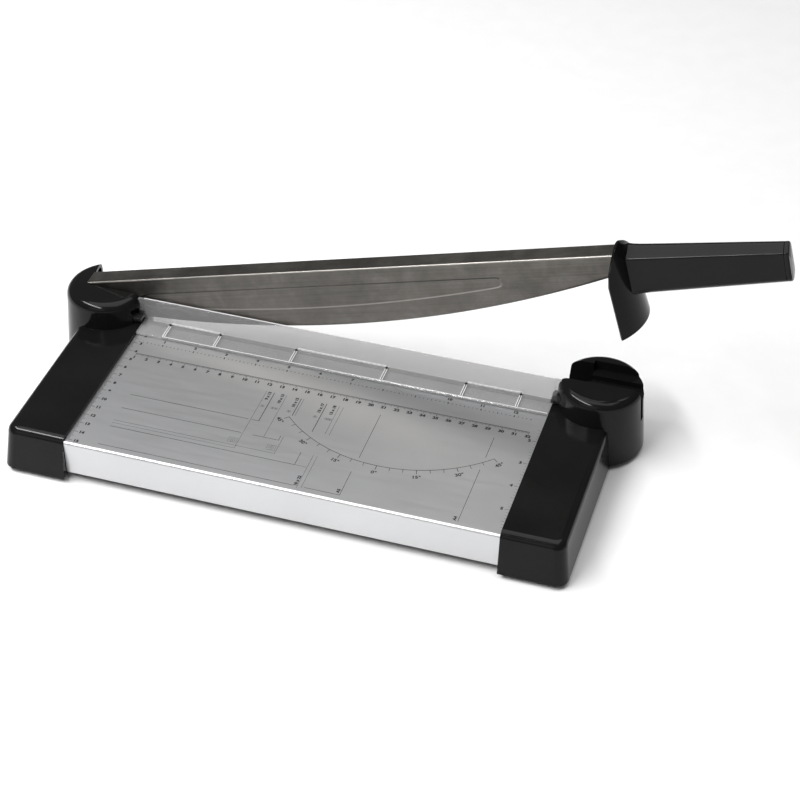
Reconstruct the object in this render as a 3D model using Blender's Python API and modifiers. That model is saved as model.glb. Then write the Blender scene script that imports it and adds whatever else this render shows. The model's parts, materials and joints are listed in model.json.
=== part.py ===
"""Guillotine paper cutter: a table between two moulded end covers, with a long blade
hinged in the left tower, a clear spring-loaded clamp rail and a handle with a guard.

Coordinates inside the assembly empty: X runs along the cut from the left stop to the
right one, Y = 0 is the plane of the cut with the operator at -Y, and Z = 0 is the top
of the table. Lengths are in metres.
"""
import math

import bmesh
import bpy
from mathutils import Matrix, Vector

# Table
TABLE_LENGTH = 0.3288
TABLE_DEPTH = 0.1545
SHEET = 0.0012
FRONT_FLANGE = 0.028
REAR_FLANGE = 0.020
TABLE_BACK = -0.0038
TAB_LENGTH = 0.038
TAB_FRONT = -0.147
TAB_BACK = -0.0345
BEND_RADIUS = 0.0022

# End covers
GAP = 0.0003
COVER_WIDTH = 0.0495
COVER_TOP = 0.0030
COVER_BOTTOM = -0.0310
COVER_FRONT_TOP = -0.1548
COVER_FRONT_BOTTOM = -0.1600
SIDE_DRAFT = math.radians(6.0)
WALL = 0.0026
CORNER_RADIUS = 0.009
EDGE_RADIUS = 0.0055
TOWER_OFFSET = 0.0330
TOWER_Y = 0.0045
TOWER_RADIUS = 0.0348
TOWER_DRAFT = math.radians(4.0)
TOWER_TOP = 0.0245
TOWER_FILLET = 0.0072
TOWER_STEPS = 56
FILLET_STEPS = 6
LEFT_TOWER_X = -TOWER_OFFSET
RIGHT_TOWER_X = TABLE_LENGTH + TOWER_OFFSET
SCREW_ROWS = (-0.135, -0.060)
BOSS_RADIUS = 0.0040

# Fixed blade, a bar behind the table
BAR_FRONT = -0.0035
BAR_BACK = -0.0003
BAR_HEIGHT = 0.020
BAR_OVERHANG = 0.044
BAR_SCREW_COUNT = 5

# Blade, measured from its pivot, with X along the fold of its spine
PIVOT = Vector((-0.0320, 0.0, -0.0060))
REST_ANGLE = math.radians(15.47)
BLADE_FRONT = 0.0003
BLADE_THICKNESS = 0.0015
SPINE_HEIGHT = 0.0337
SPINE_WIDTH = 0.0148
SPINE_END = 0.4258
EDGE_DEPTH = 0.0493
EDGE_CENTRE = 0.190
EDGE_CURVATURE = 0.62
ROOT_RADIUS = 0.0125
TANG_LOW = 0.0185
TANG_HIGH = 0.0275
TANG_END = 0.500

# Pivot hardware
BOLT_RADIUS = 0.0040

# Hand guard and handle
GUARD_RADIUS = 0.0391
GUARD_THICKNESS = 0.0018
GUARD_SPAN_LOW = math.radians(47.0)
GUARD_SPAN_HIGH = math.radians(45.0)
GUARD_DRAFT = TOWER_DRAFT
GUARD_LOW = -0.0215
GUARD_SIDE_TOP = 0.021
GUARD_TOP = 0.0485
GUARD_PEAK_Y = -0.0050
GUARD_REAR_FALL = 1.02
GUARD_AXIS = RIGHT_TOWER_X - PIVOT.x
GRIP_START = GUARD_AXIS + GUARD_RADIUS - 0.0120
GRIP_END = 0.5425
GRIP_CENTRE = 0.0219
GRIP_ROOT_SCALE = 1.34
GRIP_END_SCALE = 1.06
CAP_LENGTH = 0.0035

# Clear clamp rail
RAIL_GAP = 0.0005
RAIL_FRONT = -0.0205
RAIL_BACK = -0.0009
RAIL_SHEET = 0.0020
RAIL_HEIGHT = 0.0214
LUG_LENGTH = 0.0185
LUG_FRONT = -0.0115
LUG_LOW = 0.0060
LUG_HIGH = 0.0085
GUIDE_X = 0.0130
GUIDE_Y = -0.0077
GUIDE_RADIUS = 0.0015
RIVET_X = (0.0230, 0.0645, 0.1265, 0.1990, 0.2615, 0.3040)

# Feet
FOOT_RADIUS = 0.0080
FOOT_HEIGHT = 0.0040
FOOT_ROWS = (-0.148, 0.012)

COLLECTION = "guillotine_paper_cutter"


def clear_scene():
    """Remove every object of the starting scene."""
    for item in list(bpy.data.objects):
        bpy.data.objects.remove(item, do_unlink=True)


def new_collection(name):
    """Make a collection in the scene."""
    collection = bpy.data.collections.new(name)
    bpy.context.scene.collection.children.link(collection)
    return collection


def new_material(name, colour, roughness, metallic=0.0, alpha=1.0):
    """Make a Principled material."""
    material = bpy.data.materials.new(name)
    material.use_nodes = True
    shader = material.node_tree.nodes["Principled BSDF"]
    shader.inputs["Base Color"].default_value = (*colour, 1.0)
    shader.inputs["Roughness"].default_value = roughness
    shader.inputs["Metallic"].default_value = metallic
    shader.inputs["Alpha"].default_value = alpha
    return material


def place(name, mesh, parent, material=None):
    """Link a mesh as a part, or as a cutter when it has no material."""
    item = bpy.data.objects.new(name, mesh)
    item.parent = parent
    if material is None:
        cutters.objects.link(item)
        item.hide_render = True
        item.display_type = "WIRE"
    else:
        parts.objects.link(item)
        mesh.materials.clear()
        mesh.materials.append(material)
    return item


def smooth(mesh, angle=35.0):
    """Shade a mesh smooth, with its corners kept sharp."""
    mesh.shade_smooth()
    mesh.set_sharp_from_angle(angle=math.radians(angle))


def mesh_from(bm, name):
    """Close a bmesh into a mesh."""
    bmesh.ops.recalc_face_normals(bm, faces=bm.faces[:])
    mesh = bpy.data.meshes.new(name)
    bm.to_mesh(mesh)
    bm.free()
    return mesh


def box_mesh(name, low, high, bevel=0.0, segments=2):
    """A box between two corners, with rounded edges if bevel is given."""
    bm = bmesh.new()
    bmesh.ops.create_cube(bm, size=1.0)
    low = Vector(low)
    high = Vector(high)
    size = high - low
    middle = (low + high) / 2.0
    bmesh.ops.transform(
        bm, verts=bm.verts, matrix=Matrix.Translation(middle) @ Matrix.Diagonal((*size, 1.0)))
    if bevel:
        bmesh.ops.bevel(
            bm, geom=bm.edges[:], offset=bevel, segments=segments, profile=0.5, affect="EDGES")
    return mesh_from(bm, name)


def rod_mesh(name, radius, start, end, steps=24, end_radius=None):
    """A round rod, or a cone, from one point to another."""
    start = Vector(start)
    end = Vector(end)
    axis = end - start
    turn = Vector((0.0, 0.0, 1.0)).rotation_difference(axis).to_matrix().to_4x4()
    bm = bmesh.new()
    top_radius = radius if end_radius is None else end_radius
    bmesh.ops.create_cone(
        bm, cap_ends=True, segments=steps, radius1=radius, radius2=top_radius, depth=axis.length,
        matrix=Matrix.Translation((start + end) / 2.0) @ turn)
    mesh = mesh_from(bm, name)
    smooth(mesh)
    return mesh


def outline_mesh(name, points, thickness, plane="XZ", offset=0.0):
    """A flat plate: an outline in the XZ, YZ or XY plane, extruded across it."""
    curve = bpy.data.curves.new(name + "_outline", "CURVE")
    curve.dimensions = "2D"
    curve.fill_mode = "BOTH"
    curve.extrude = thickness / 2.0
    spline = curve.splines.new("POLY")
    spline.points.add(len(points) - 1)
    for point, (first, second) in zip(spline.points, points):
        point.co = (first, second, 0.0, 1.0)
    spline.use_cyclic_u = True
    shape = bpy.data.objects.new(name + "_outline", curve)
    bpy.context.scene.collection.objects.link(shape)
    depsgraph = bpy.context.evaluated_depsgraph_get()
    mesh = bpy.data.meshes.new_from_object(shape.evaluated_get(depsgraph))
    bpy.data.objects.remove(shape, do_unlink=True)
    turns = {
        "XZ": Matrix.Rotation(math.radians(90.0), 4, "X"),
        "YZ": Matrix.Rotation(math.radians(90.0), 4, "Z") @ Matrix.Rotation(math.radians(90.0), 4, "X"),
        "XY": Matrix.Identity(4),
    }
    shifts = {"XZ": (0.0, offset, 0.0), "YZ": (offset, 0.0, 0.0), "XY": (0.0, 0.0, offset)}
    bm = bmesh.new()
    bm.from_mesh(mesh)
    bmesh.ops.remove_doubles(bm, verts=bm.verts, dist=0.00002)
    bmesh.ops.transform(bm, verts=bm.verts, matrix=Matrix.Translation(shifts[plane]) @ turns[plane])
    return mesh_from(bm, name)


def turned_mesh(name, profile, steps):
    """Turn a profile of (radius, height) points about Z, running down its outer side."""
    mesh = bpy.data.meshes.new(name + "_profile")
    points = [(radius, 0.0, height) for radius, height in profile]
    edges = [(index, index + 1) for index in range(len(points) - 1)]
    mesh.from_pydata(points, edges, [])
    shape = bpy.data.objects.new(name + "_profile", mesh)
    bpy.context.scene.collection.objects.link(shape)
    screw = shape.modifiers.new("turn", "SCREW")
    screw.steps = steps
    screw.render_steps = steps
    screw.use_merge_vertices = True
    screw.merge_threshold = 0.00001
    depsgraph = bpy.context.evaluated_depsgraph_get()
    turned = bpy.data.meshes.new_from_object(shape.evaluated_get(depsgraph))
    bpy.data.objects.remove(shape, do_unlink=True)
    turned.name = name
    smooth(turned)
    return turned


def arc(centre, radius, start, end, steps):
    """Points along an arc, with its angles in degrees."""
    angles = [math.radians(start + (end - start) * index / steps) for index in range(steps + 1)]
    return [(centre[0] + radius * math.cos(angle), centre[1] + radius * math.sin(angle)) for angle in angles]


def boolean(target, mesh, operation="DIFFERENCE", parent=None):
    """Cut a mesh from a part, or join it to the part."""
    tool = place(target.name + "_" + mesh.name, mesh, parent or target.parent)
    step = target.modifiers.new(mesh.name, "BOOLEAN")
    step.operation = operation
    step.solver = "EXACT"
    step.object = tool
    weld = target.modifiers.new(mesh.name + "_weld", "WELD")
    weld.merge_threshold = 0.00002
    return tool


def shifted(mesh, offset):
    """Move a mesh by an offset."""
    mesh.transform(Matrix.Translation(offset))
    return mesh


def make_table(root):
    """Folded sheet table with a tab under each cover."""
    front = -TABLE_DEPTH
    outer = [(TABLE_BACK, -REAR_FLANGE)]
    outer += arc((TABLE_BACK - BEND_RADIUS, -BEND_RADIUS), BEND_RADIUS, 0.0, 90.0, 4)
    outer += arc((front + BEND_RADIUS, -BEND_RADIUS), BEND_RADIUS, 90.0, 180.0, 4)
    outer.append((front, -FRONT_FLANGE))
    inner_radius = BEND_RADIUS - SHEET
    inner = [(front + SHEET, -FRONT_FLANGE)]
    inner += arc((front + BEND_RADIUS, -BEND_RADIUS), inner_radius, 180.0, 90.0, 4)
    inner += arc((TABLE_BACK - BEND_RADIUS, -BEND_RADIUS), inner_radius, 90.0, 0.0, 4)
    inner.append((TABLE_BACK - SHEET, -REAR_FLANGE))
    length = TABLE_LENGTH - 2.0 * GAP
    mesh = outline_mesh("table", outer + inner, length, "YZ", TABLE_LENGTH / 2.0)
    smooth(mesh)
    table = place("base_table", mesh, root, silver_paint)
    tab = box_mesh(
        "tabs", (-TAB_LENGTH, TAB_FRONT, -SHEET), (TABLE_LENGTH + TAB_LENGTH, TAB_BACK, -0.0))
    boolean(table, tab, "UNION")
    for side, centre in (("left", -COVER_WIDTH / 2.0), ("right", TABLE_LENGTH + COVER_WIDTH / 2.0)):
        for row, y in enumerate(SCREW_ROWS):
            hole = rod_mesh(
                f"{side}_boss_hole_{row}", BOSS_RADIUS + 0.0008, (centre, y, -0.004),
                (centre, y, 0.003))
            boolean(table, hole)
    for index in range(BAR_SCREW_COUNT):
        x = bar_screw_x(index)
        hole = rod_mesh(f"bar_hole_{index}", 0.0022, (x, -0.008, -0.012), (x, 0.001, -0.012), 16)
        boolean(table, hole)
    return table


def bar_screw_x(index):
    """Place of a screw along the fixed blade."""
    return TABLE_LENGTH * (index + 0.5) / BAR_SCREW_COUNT


def arm_mesh(name, inset, top, bottom):
    """A cover's drafted arm for the left side, or its hollow when inset is above zero."""
    draft = (COVER_TOP - COVER_BOTTOM) * math.tan(SIDE_DRAFT)
    lean = (COVER_FRONT_TOP - COVER_FRONT_BOTTOM) / (COVER_TOP - COVER_BOTTOM)
    back = -0.0060 if inset else TOWER_Y
    bm = bmesh.new()
    bmesh.ops.create_cube(bm, size=1.0)
    for vert in bm.verts:
        high = vert.co.z > 0.0
        z = top if high else bottom
        share = (COVER_TOP - z) / (COVER_TOP - COVER_BOTTOM)
        outer = -(COVER_WIDTH - draft + draft * share) + inset
        front = COVER_FRONT_TOP - lean * (COVER_TOP - z) + inset
        vert.co.x = outer if vert.co.x < 0.0 else -inset
        vert.co.y = front if vert.co.y < 0.0 else back
        vert.co.z = z
    corner = []
    for edge in bm.edges:
        low, high = edge.verts
        upright = abs(low.co.z - high.co.z) > 0.01
        outside = max(low.co.x, high.co.x) < -0.02
        if upright and outside and max(low.co.y, high.co.y) < -0.1:
            corner.append(edge)
    bmesh.ops.bevel(
        bm, geom=corner, offset=CORNER_RADIUS - inset, segments=6, profile=0.5, affect="EDGES")
    rim = []
    for edge in bm.edges:
        low, high = edge.verts
        level = min(low.co.z, high.co.z) > top - 0.0001
        behind = min(low.co.y, high.co.y) > -0.02
        inside = min(low.co.x, high.co.x) > -0.01
        if level and not behind and not inside:
            rim.append(edge)
    bmesh.ops.bevel(bm, geom=rim, offset=EDGE_RADIUS - inset, segments=5, profile=0.5, affect="EDGES")
    return mesh_from(bm, name)


def tower_mesh(name, inset, top, bottom):
    """A cover's drafted round tower, or its hollow when inset is above zero."""
    def radius(height):
        return TOWER_RADIUS - inset - (height - COVER_BOTTOM) * math.tan(TOWER_DRAFT)
    fillet = TOWER_FILLET - inset
    profile = [(0.0, top)]
    centre = (radius(top - fillet) - fillet, top - fillet)
    profile += arc(centre, fillet, 90.0, 0.0, FILLET_STEPS)
    profile.append((radius(bottom), bottom))
    profile.append((0.0, bottom))
    return turned_mesh(name, profile, TOWER_STEPS)


def mirrored(mesh, side):
    """Leave a left-hand mesh as it is, or turn it into the right-hand one."""
    if side == "right":
        mesh.transform(
            Matrix.Translation((TABLE_LENGTH, 0.0, 0.0)) @ Matrix.Diagonal((-1.0, 1.0, 1.0, 1.0)))
        mesh.flip_normals()
    return mesh


def make_cover(root, side):
    """A moulded end cover: arm, tower, hollow, bosses and openings."""
    ceiling = COVER_TOP - WALL
    below = COVER_BOTTOM - 0.005
    cover = place(
        side + "_cover", mirrored(arm_mesh("arm", 0.0, COVER_TOP, COVER_BOTTOM - 0.002), side), root,
        black_plastic)
    tower = shifted(
        tower_mesh("tower", 0.0, TOWER_TOP, COVER_BOTTOM - 0.003), (LEFT_TOWER_X, TOWER_Y, 0.0))
    boolean(cover, mirrored(tower, side), "UNION")
    boolean(
        cover, mirrored(box_mesh("trim", (0.0001, -TABLE_DEPTH - GAP, -0.1), (0.05, 0.1, 0.1)), side))
    boolean(cover, mirrored(arm_mesh("arm_hollow", WALL, ceiling, below), side))
    hollow = shifted(
        tower_mesh("tower_hollow", WALL, TOWER_TOP - WALL, below), (LEFT_TOWER_X, TOWER_Y, 0.0))
    hollow_tool = boolean(cover, mirrored(hollow, side))
    boolean(
        hollow_tool, mirrored(box_mesh("inner_wall", (-WALL, -0.1, -0.1), (0.05, 0.1, 0.1)), side),
        parent=root)
    if side == "right":
        keep = box_mesh("slot_block", (-0.075, -0.0040, -0.0180), (-0.0044, 0.0275, 0.1))
        boolean(hollow_tool, mirrored(keep, side), parent=root)
    skirt = box_mesh(
        "table_gap", (-0.0061, COVER_FRONT_TOP + 0.0037, below - 0.001), (0.01, -0.034, GAP))
    boolean(cover, mirrored(skirt, side))
    bar_gap = box_mesh("bar_gap", (-0.0455, BAR_FRONT - 0.0025, -BAR_HEIGHT - GAP), (0.01, 0.0016, GAP))
    boolean(cover, mirrored(bar_gap, side))
    lug_gap = box_mesh("lug_gap", (-0.0120, -0.0125, 0.0045), (0.01, 0.0016, 0.0150))
    boolean(cover, mirrored(lug_gap, side))
    wall_gap = box_mesh(
        "wall_gap", (-0.0045, RAIL_BACK - RAIL_SHEET - 0.0008, -0.0004), (0.01, 0.0013, 0.05))
    boolean(cover, mirrored(wall_gap, side))
    centre = -COVER_WIDTH / 2.0
    for row, y in enumerate(SCREW_ROWS):
        boss = rod_mesh(
            f"boss_{row}", BOSS_RADIUS, (centre, y, -0.0280), (centre, y, COVER_TOP - 0.001), 16)
        boolean(cover, mirrored(boss, side), "UNION")
        hole = rod_mesh(f"boss_bore_{row}", 0.0017, (centre, y, -0.0300), (centre, y, -0.0100), 12)
        boolean(cover, mirrored(hole, side))
    if side == "left":
        cut_left_tower(cover)
    else:
        cut_right_tower(cover)
    floor = box_mesh("floor", (-0.1, -0.2, -0.05), (0.03, 0.1, COVER_BOTTOM))
    boolean(cover, mirrored(floor, side))
    return cover


def cut_left_tower(cover):
    """Open the rear of the left tower, where the blade and its spine swing."""
    outline = [(-0.0450, -0.0012), (0.01, -0.0012), (0.01, 0.05), (-0.0515, 0.05)]
    low = -0.0020
    high = 0.05
    boolean(cover, outline_mesh("blade_opening", outline, high - low, "XY", (low + high) / 2.0))
    slit = box_mesh("blade_slit", (-0.020, -0.0012, -0.0110), (0.01, 0.0040, 0.05))
    boolean(cover, slit)


def cut_right_tower(cover):
    """Cut the slot that takes the closed blade, with a finger ledge behind it."""
    left = TABLE_LENGTH - 0.01
    right = RIGHT_TOWER_X + 0.05
    step = RIGHT_TOWER_X - 0.0095
    spine = box_mesh("spine_slot", (left, -0.0010, 0.0130), (right, 0.0161, 0.05))
    boolean(cover, spine)
    blade = box_mesh("blade_slot", (left, -0.0010, -0.0035), (right, 0.0040, 0.05))
    boolean(cover, blade)
    deep = box_mesh("deep_slot", (left, -0.0018, -0.0140), (step - 0.0002, 0.0042, 0.05))
    boolean(cover, deep)
    ledge = box_mesh("finger_ledge", (step, 0.0, 0.0172), (right, 0.0245, 0.05))
    boolean(cover, ledge)
    pocket = box_mesh("finger_pocket", (left, -0.0020, 0.0060), (step + 0.0001, 0.0208, 0.05))
    boolean(cover, pocket)


def make_bottom_plate(root, side):
    """Flat plate that closes a cover from below and carries the feet."""
    draft = math.tan(SIDE_DRAFT) * 0.002
    outer = -(COVER_WIDTH - WALL - draft - 0.0006)
    radius = TOWER_RADIUS - WALL - 0.0006
    front = COVER_FRONT_BOTTOM + WALL + 0.0014
    inside = -WALL - 0.0006
    tower = Vector((LEFT_TOWER_X, TOWER_Y))
    meet = math.degrees(math.acos((outer - tower.x) / radius))
    side_angle = math.degrees(math.acos((inside - tower.x) / radius))
    points = [(inside, front)]
    points += [(inside, tower.y + radius * math.sin(math.radians(side_angle)))]
    points += arc(tower, radius, side_angle + 2.0, 360.0 - meet, 28)
    points += arc((outer + 0.0055, front + 0.0055), 0.0055, 180.0, 270.0, 5)
    mesh = outline_mesh("plate", points, 0.0020, "XY", COVER_BOTTOM + 0.0012)
    plate = place(side + "_bottom_plate", mirrored(mesh, side), root, dark_plastic)
    for row, y in enumerate(SCREW_ROWS):
        centre = -COVER_WIDTH / 2.0
        hole = rod_mesh(f"hole_{row}", 0.0019, (centre, y, -0.04), (centre, y, -0.02), 16)
        boolean(plate, mirrored(hole, side))
        sink = rod_mesh(
            f"sink_{row}", 0.0037, (centre, y, -0.04), (centre, y, COVER_BOTTOM + 0.0012), 16)
        boolean(plate, mirrored(sink, side))
    return plate


def make_cover_screws(root, side):
    """Pan-head screws that hold the bottom plate to the cover's bosses."""
    centre = -COVER_WIDTH / 2.0
    for row, y in enumerate(SCREW_ROWS):
        head = rod_mesh(
            "head", 0.0033, (centre, y, COVER_BOTTOM - 0.0008), (centre, y, COVER_BOTTOM + 0.0009), 16)
        name = f"{side}_cover_screw_{row + 1}"
        screw = place(name, mirrored(head, side), root, zinc_steel)
        shank = rod_mesh("shank", 0.0013, (centre, y, COVER_BOTTOM), (centre, y, -0.0120), 12)
        boolean(screw, mirrored(shank, side), "UNION")
        slot = box_mesh(
            "slot", (centre - 0.0022, y - 0.0004, -0.04), (centre + 0.0022, y + 0.0004, COVER_BOTTOM))
        boolean(screw, mirrored(slot, side))


def make_feet(root, side):
    """Round rubber feet under a bottom plate."""
    top = COVER_BOTTOM + 0.0002 - GAP
    profile = [(0.0, top), (FOOT_RADIUS, top), (FOOT_RADIUS, top - 0.0026)]
    profile += [(FOOT_RADIUS - 0.0012, top - FOOT_HEIGHT), (0.0, top - FOOT_HEIGHT)]
    for row, y in enumerate(FOOT_ROWS):
        x = -COVER_WIDTH / 2.0 - (0.004 if row == 1 else 0.0)
        foot = shifted(turned_mesh("foot", profile, 28), (x, y, 0.0))
        place(f"{side}_foot_{row + 1}", mirrored(foot, side), root, black_rubber)


def make_fixed_blade(root):
    """Fixed blade: a steel bar with an ear for the pivot, and its screws."""
    left = -BAR_OVERHANG
    right = TABLE_LENGTH + BAR_OVERHANG
    ear = 0.0115
    points = [(right, 0.0), (right, -BAR_HEIGHT), (left, -BAR_HEIGHT), (left, PIVOT.z)]
    points += arc((PIVOT.x, PIVOT.z), ear, 180.0, math.degrees(math.asin(-PIVOT.z / ear)), 14)
    mesh = outline_mesh("bar", points, BAR_BACK - BAR_FRONT, "XZ", (BAR_BACK + BAR_FRONT) / 2.0)
    bar = place("counter_blade", mesh, root, blade_steel)
    bore = rod_mesh(
        "pivot_bore", BOLT_RADIUS + GAP, (PIVOT.x, -0.02, PIVOT.z), (PIVOT.x, 0.02, PIVOT.z), 28)
    boolean(bar, bore)
    for index in range(BAR_SCREW_COUNT):
        x = bar_screw_x(index)
        tapped = rod_mesh(
            f"tapped_{index}", 0.0018, (x, -0.01, -0.012), (x, BAR_BACK - 0.0006, -0.012), 16)
        boolean(bar, tapped)
        head_front = TABLE_BACK - SHEET - GAP
        head = rod_mesh("head", 0.0036, (x, head_front - 0.0024, -0.012), (x, head_front, -0.012), 16)
        screw = place(f"counter_blade_screw_{index + 1}", head, root, zinc_steel)
        shank = rod_mesh(
            "shank", 0.0015, (x, head_front - 0.001, -0.012), (x, BAR_BACK - 0.0010, -0.012), 12)
        boolean(screw, shank, "UNION")
        socket = rod_mesh(
            "socket", 0.0017, (x, head_front - 0.004, -0.012), (x, head_front - 0.0010, -0.012), 6)
        boolean(screw, socket)


def make_pivot(root):
    """Shouldered pivot bolt with its washers and lock nut."""
    x = PIVOT.x
    z = PIVOT.z
    head_face = BLADE_FRONT + BLADE_THICKNESS + GAP
    nut_back = -0.0078
    head = rod_mesh("head", 0.0078, (x, head_face, z), (x, head_face + 0.0040, z), 6)
    bolt = place("pivot_bolt", head, root, zinc_steel)
    shank = rod_mesh("shank", BOLT_RADIUS, (x, -0.0150, z), (x, head_face + 0.001, z), 28)
    boolean(bolt, shank, "UNION")
    rings = (
        ("pivot_washer", 0.0085, BAR_FRONT - GAP - 0.0014, BAR_FRONT - GAP, brass),
        ("spring_washer", 0.0072, BAR_FRONT - GAP - 0.0034, BAR_FRONT - GAP - 0.0017, zinc_steel),
    )
    for name, radius, front, back, material in rings:
        disc = rod_mesh("disc", radius, (x, front, z), (x, back, z), 28)
        ring = place(name, disc, root, material)
        boolean(ring, rod_mesh("bore", BOLT_RADIUS + GAP, (x, -0.03, z), (x, 0.03, z), 28))
    nut_mesh = rod_mesh("body", 0.0076, (x, nut_back - 0.0050, z), (x, nut_back, z), 6)
    nut = place("lock_nut", nut_mesh, root, zinc_steel)
    boolean(nut, rod_mesh("thread", BOLT_RADIUS + GAP, (x, -0.03, z), (x, 0.03, z), 28))


def blade_edge(x):
    """Height of the cutting edge above the pivot, at a place along the blade."""
    return SPINE_HEIGHT - EDGE_DEPTH + EDGE_CURVATURE * (x - EDGE_CENTRE) ** 2


def make_blade(arm):
    """Blade with a curved edge, a folded spine and a tang inside the handle."""
    edge_start = 0.016
    edge_end = 0.4252
    steps = 40
    points = [(TANG_END, TANG_LOW), (TANG_END, TANG_HIGH), (edge_end, TANG_HIGH)]
    points += [(edge_end, SPINE_HEIGHT), (0.0, SPINE_HEIGHT)]
    points += arc((0.0, 0.0), ROOT_RADIUS, 168.0, 330.0, 14)
    for index in range(steps + 1):
        x = edge_start + (edge_end - edge_start) * index / steps
        points.append((x, min(blade_edge(x), TANG_LOW)))
    middle = BLADE_FRONT + BLADE_THICKNESS / 2.0
    blade = place("blade", outline_mesh("web", points, BLADE_THICKNESS, "XZ", middle), arm, blade_steel)
    spine = box_mesh(
        "spine", (0.0, BLADE_FRONT, SPINE_HEIGHT - BLADE_THICKNESS),
        (SPINE_END, BLADE_FRONT + SPINE_WIDTH, SPINE_HEIGHT))
    boolean(blade, spine, "UNION")
    bore = rod_mesh("pivot_bore", BOLT_RADIUS + GAP, (0.0, -0.02, 0.0), (0.0, 0.02, 0.0), 28)
    boolean(blade, bore)
    return blade


def grip_section():
    """Outline of the grip across its length, as (y, z) about its centre."""
    points = arc((0.0003, -0.0077), 0.0068, 200.0, 345.0, 8)
    points += arc((0.0046, 0.0080), 0.0037, -5.0, 98.0, 6)
    points += arc((-0.0020, 0.0070), 0.0016, 105.0, 185.0, 5)
    return points


def loft_mesh(name, section, places):
    """A closed tube through scaled copies of a section, at (x, scale) places."""
    bm = bmesh.new()
    rings = []
    for x, scale in places:
        ring = [bm.verts.new((x, y * scale, z * scale)) for y, z in section]
        rings.append(ring)
    count = len(section)
    for first, second in zip(rings, rings[1:]):
        for index in range(count):
            after = (index + 1) % count
            bm.faces.new((first[index], first[after], second[after], second[index]))
    bm.faces.new(rings[0])
    bm.faces.new(rings[-1])
    return mesh_from(bm, name)


def make_handle(arm):
    """Grip, end cap, screws and the curved hand guard."""
    centre = Vector((0.0, 0.0010, GRIP_CENTRE))
    section = grip_section()
    cap_start = GRIP_END - CAP_LENGTH
    length = [(GRIP_START, GRIP_ROOT_SCALE), (cap_start - GAP, GRIP_END_SCALE)]
    mesh = shifted(loft_mesh("grip", section, length), centre)
    smooth(mesh, 30.0)
    grip = place("handle_grip", mesh, arm, black_plastic)
    seat_low = -0.05
    seat_high = 0.1
    outside = GUARD_THICKNESS / 2.0 + GAP
    seat = rod_mesh(
        "guard_seat", guard_radius(seat_low) + outside, (GUARD_AXIS, TOWER_Y, seat_low),
        (GUARD_AXIS, TOWER_Y, seat_high), 96, guard_radius(seat_high) + outside)
    boolean(grip, seat)
    margin = 0.0004
    low = (GRIP_START - 0.01, BLADE_FRONT - margin, TANG_LOW - margin)
    high = (TANG_END + 0.001, BLADE_FRONT + BLADE_THICKNESS + margin, TANG_HIGH + margin)
    boolean(grip, box_mesh("tang_slot", low, high))
    rim = GRIP_END - 0.0012
    cap_places = [(cap_start, GRIP_END_SCALE), (rim, GRIP_END_SCALE), (GRIP_END, GRIP_END_SCALE - 0.08)]
    cap_mesh = shifted(loft_mesh("cap", section, cap_places), centre)
    smooth(cap_mesh, 30.0)
    place("handle_end_cap", cap_mesh, arm, black_plastic)
    for index, x in enumerate((0.455, 0.489)):
        sink = rod_mesh(
            f"screw_sink_{index}", 0.0034, (x, 0.0048, GRIP_CENTRE), (x, 0.02, GRIP_CENTRE), 16)
        boolean(grip, sink)
        bore = rod_mesh(
            f"screw_bore_{index}", 0.0017, (x, -0.0030, GRIP_CENTRE), (x, 0.006, GRIP_CENTRE), 16)
        boolean(grip, bore)
        blade_hole = rod_mesh(
            f"tang_hole_{index}", 0.0017, (x, -0.01, GRIP_CENTRE), (x, 0.01, GRIP_CENTRE), 16)
        boolean(bpy.data.objects["blade"], blade_hole)
        head = rod_mesh("head", 0.0030, (x, 0.0051, GRIP_CENTRE), (x, 0.0067, GRIP_CENTRE), 16)
        screw = place(f"grip_screw_{index + 1}", head, arm, zinc_steel)
        shank = rod_mesh("shank", 0.0014, (x, -0.0025, GRIP_CENTRE), (x, 0.0060, GRIP_CENTRE), 12)
        boolean(screw, shank, "UNION")
        cross = box_mesh(
            "slot", (x - 0.0021, 0.0061, GRIP_CENTRE - 0.0004),
            (x + 0.0021, 0.01, GRIP_CENTRE + 0.0004))
        boolean(screw, cross)


def guard_radius(z):
    """Radius of the shield's middle surface, which tapers like the tower it follows."""
    return GUARD_RADIUS - math.tan(GUARD_DRAFT) * (z - GUARD_LOW)


def guard_top(y):
    """Height of the shield's upper edge: an ear in front of the handle, falling to the back."""
    front = TOWER_Y - guard_radius(GUARD_TOP) * math.sin(GUARD_SPAN_HIGH)
    bulge = 1.55
    if y < GUARD_PEAK_Y:
        share = (GUARD_PEAK_Y - y) / (GUARD_PEAK_Y - front)
        return GUARD_SIDE_TOP + (GUARD_TOP - GUARD_SIDE_TOP) * max(0.0, 1.0 - share ** bulge) ** (
            1.0 / bulge)
    fall = y - GUARD_PEAK_Y
    blend = 0.006
    return GUARD_TOP - GUARD_REAR_FALL * (math.sqrt(fall ** 2 + blend ** 2) - blend)


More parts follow.
